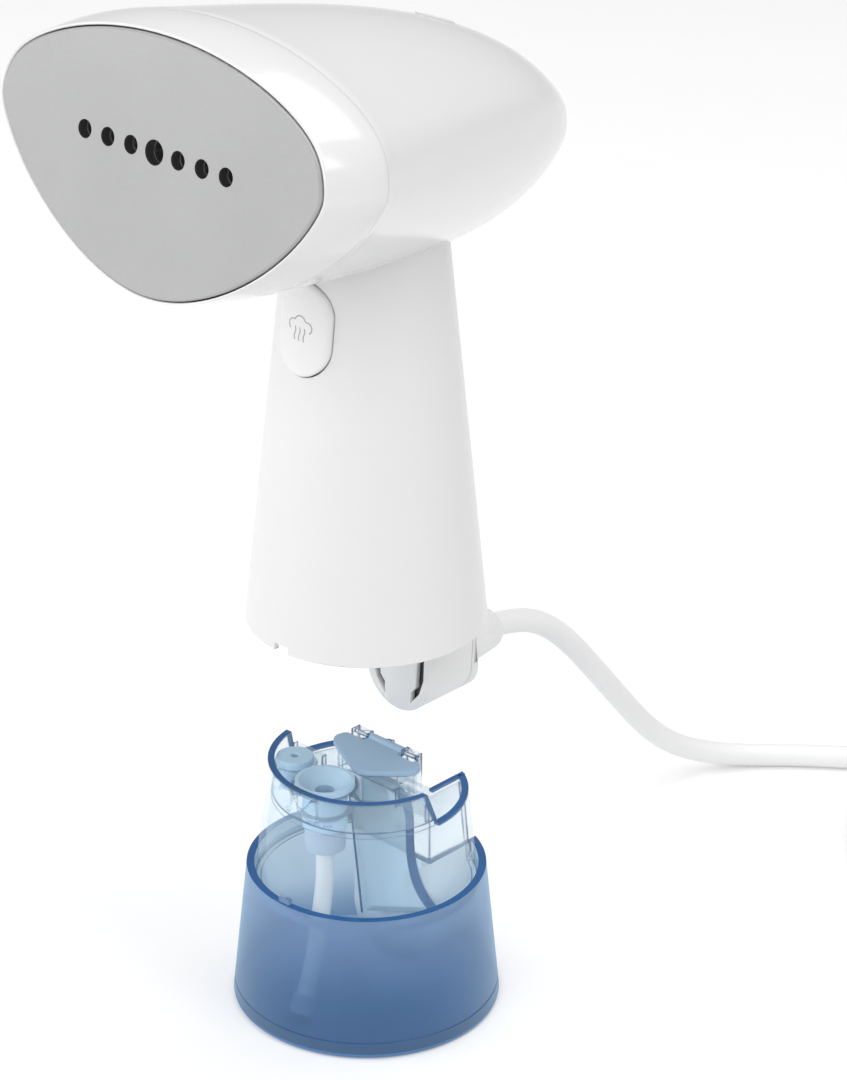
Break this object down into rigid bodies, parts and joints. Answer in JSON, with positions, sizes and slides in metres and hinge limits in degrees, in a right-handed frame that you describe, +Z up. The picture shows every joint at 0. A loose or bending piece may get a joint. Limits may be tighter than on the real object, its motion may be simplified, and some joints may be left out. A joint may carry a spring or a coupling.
{
  "type": "garment steamer",
  "caption": "White hand-held garment steamer with a tilted soleplate head, lifted off its translucent blue water tank, with its mains cord and plug.",
  "frame": {"origin": "middle of the hand grip, on the axis of the handle and the tank", "axes": "+Z up along the handle, -Y out of the steam plate, +X across the plate"},
  "size_m": [0.2176, 0.3269, 0.3012],
  "materials": {
    "white_shell": "gloss white ABS",
    "white_frame": "gloss white ABS",
    "white_handle": "gloss white ABS",
    "white_button": "satin white",
    "white_tongue": "satin white",
    "plate_grey": "satin coating on aluminium",
    "seal_black": "matte",
    "seal_orange": "matte silicone",
    "cast_aluminium": "as cast",
    "element_steel": "satin, heat tinted",
    "steel_small": "satin",
    "ceramic_white": "glazed ceramic",
    "inner_black": "matte",
    "inner_white": "matte",
    "lens_smoke": "translucent white",
    "board_white": "matte",
    "board_green": "solder mask",
    "relay_blue": "matte",
    "capacitor_black": "sleeved",
    "pump_grey": "matte",
    "copper_coil": "enamelled copper wire",
    "hose_clear": "translucent silicone",
    "wire_brown": "matte insulation",
    "slot_grey": "matte",
    "relief_white": "translucent white elastomer",
    "cord_white": "matte sheath",
    "plug_white": "matte moulded",
    "pin_nickel": "nickel plated",
    "cup_blue": "frosted translucent blue",
    "shell_blue": "polished clear light blue",
    "seal_blue": "matte",
    "seal_slate": "matte silicone",
    "flap_slate": "matte",
    "valve_pale": "satin",
    "filter_grey": "fine mesh",
    "baffle_blue": "clear light blue"
  },
  "bodies": {
    "steamer": {"head_shell": "white_shell", "front_frame": "white_frame", "steam_plate": "plate_grey", "plate_seal": "seal_black", "boiler_body": "cast_aluminium", "boiler_gasket": "seal_orange", "boiler_cover": "cast_aluminium", "boiler_screws": "steel_small", "heating_element": "element_steel", "thermostat": "steel_small", "thermal_fuse": "ceramic_white", "boiler_carrier": "inner_black", "indicator_lens": "lens_smoke", "indicator_lamp": "board_white", "handle_sleeve": "white_handle", "handle_chassis": "inner_white", "micro_switch": "inner_black", "trigger_spring": "steel_small", "circuit_board": "board_green", "board_relay": "relay_blue", "board_capacitor": "capacitor_black", "pump_body": "pump_grey", "pump_coil": "copper_coil", "pump_mounts": "seal_black", "inlet_hose": "hose_clear", "outlet_hose": "hose_clear", "dock_plate": "inner_white", "dock_screws": "steel_small", "terminal_block": "board_white", "dock_tongue": "white_tongue", "cable_guard": "slot_grey", "tongue_cap": "white_tongue", "strain_relief": "relief_white", "cord_clamp": "inner_white", "lead_wires": "wire_brown", "power_cord": "cord_white", "cord_coil": "cord_white", "plug_body": "plug_white", "plug_pins": "pin_nickel"},
    "trigger": {"trigger_button": "white_button"},
    "tank": {"tank_cup": "cup_blue", "tank_top": "shell_blue", "tank_joint_seal": "seal_blue", "outlet_seal": "seal_slate", "valve_cup": "valve_pale", "suction_tube": "hose_clear", "tube_filter": "filter_grey", "vent_grommet": "seal_slate", "tank_baffle": "baffle_blue", "flap_pin": "steel_small"},
    "flap": {"fill_flap": "flap_slate"}
  },
  "joints": [
    {"name": "tank_slide", "type": "slide", "parent": "steamer", "child": "tank", "axis": [0, 0, 1], "range_m": [0, 0.0774]},
    {"name": "trigger_press", "type": "slide", "parent": "steamer", "child": "trigger", "axis": [0, 1, 0], "range_m": [0, 0.0025], "stiffness_N_per_m": 800, "springref_m": -0.001, "deforming": ["trigger_spring"]},
    {"name": "flap_hinge", "type": "hinge", "parent": "tank", "child": "flap", "pos_m": [0, 0.009, -0.115], "axis": [1, 0, 0], "range_deg": [-90, 0]}
  ]
}
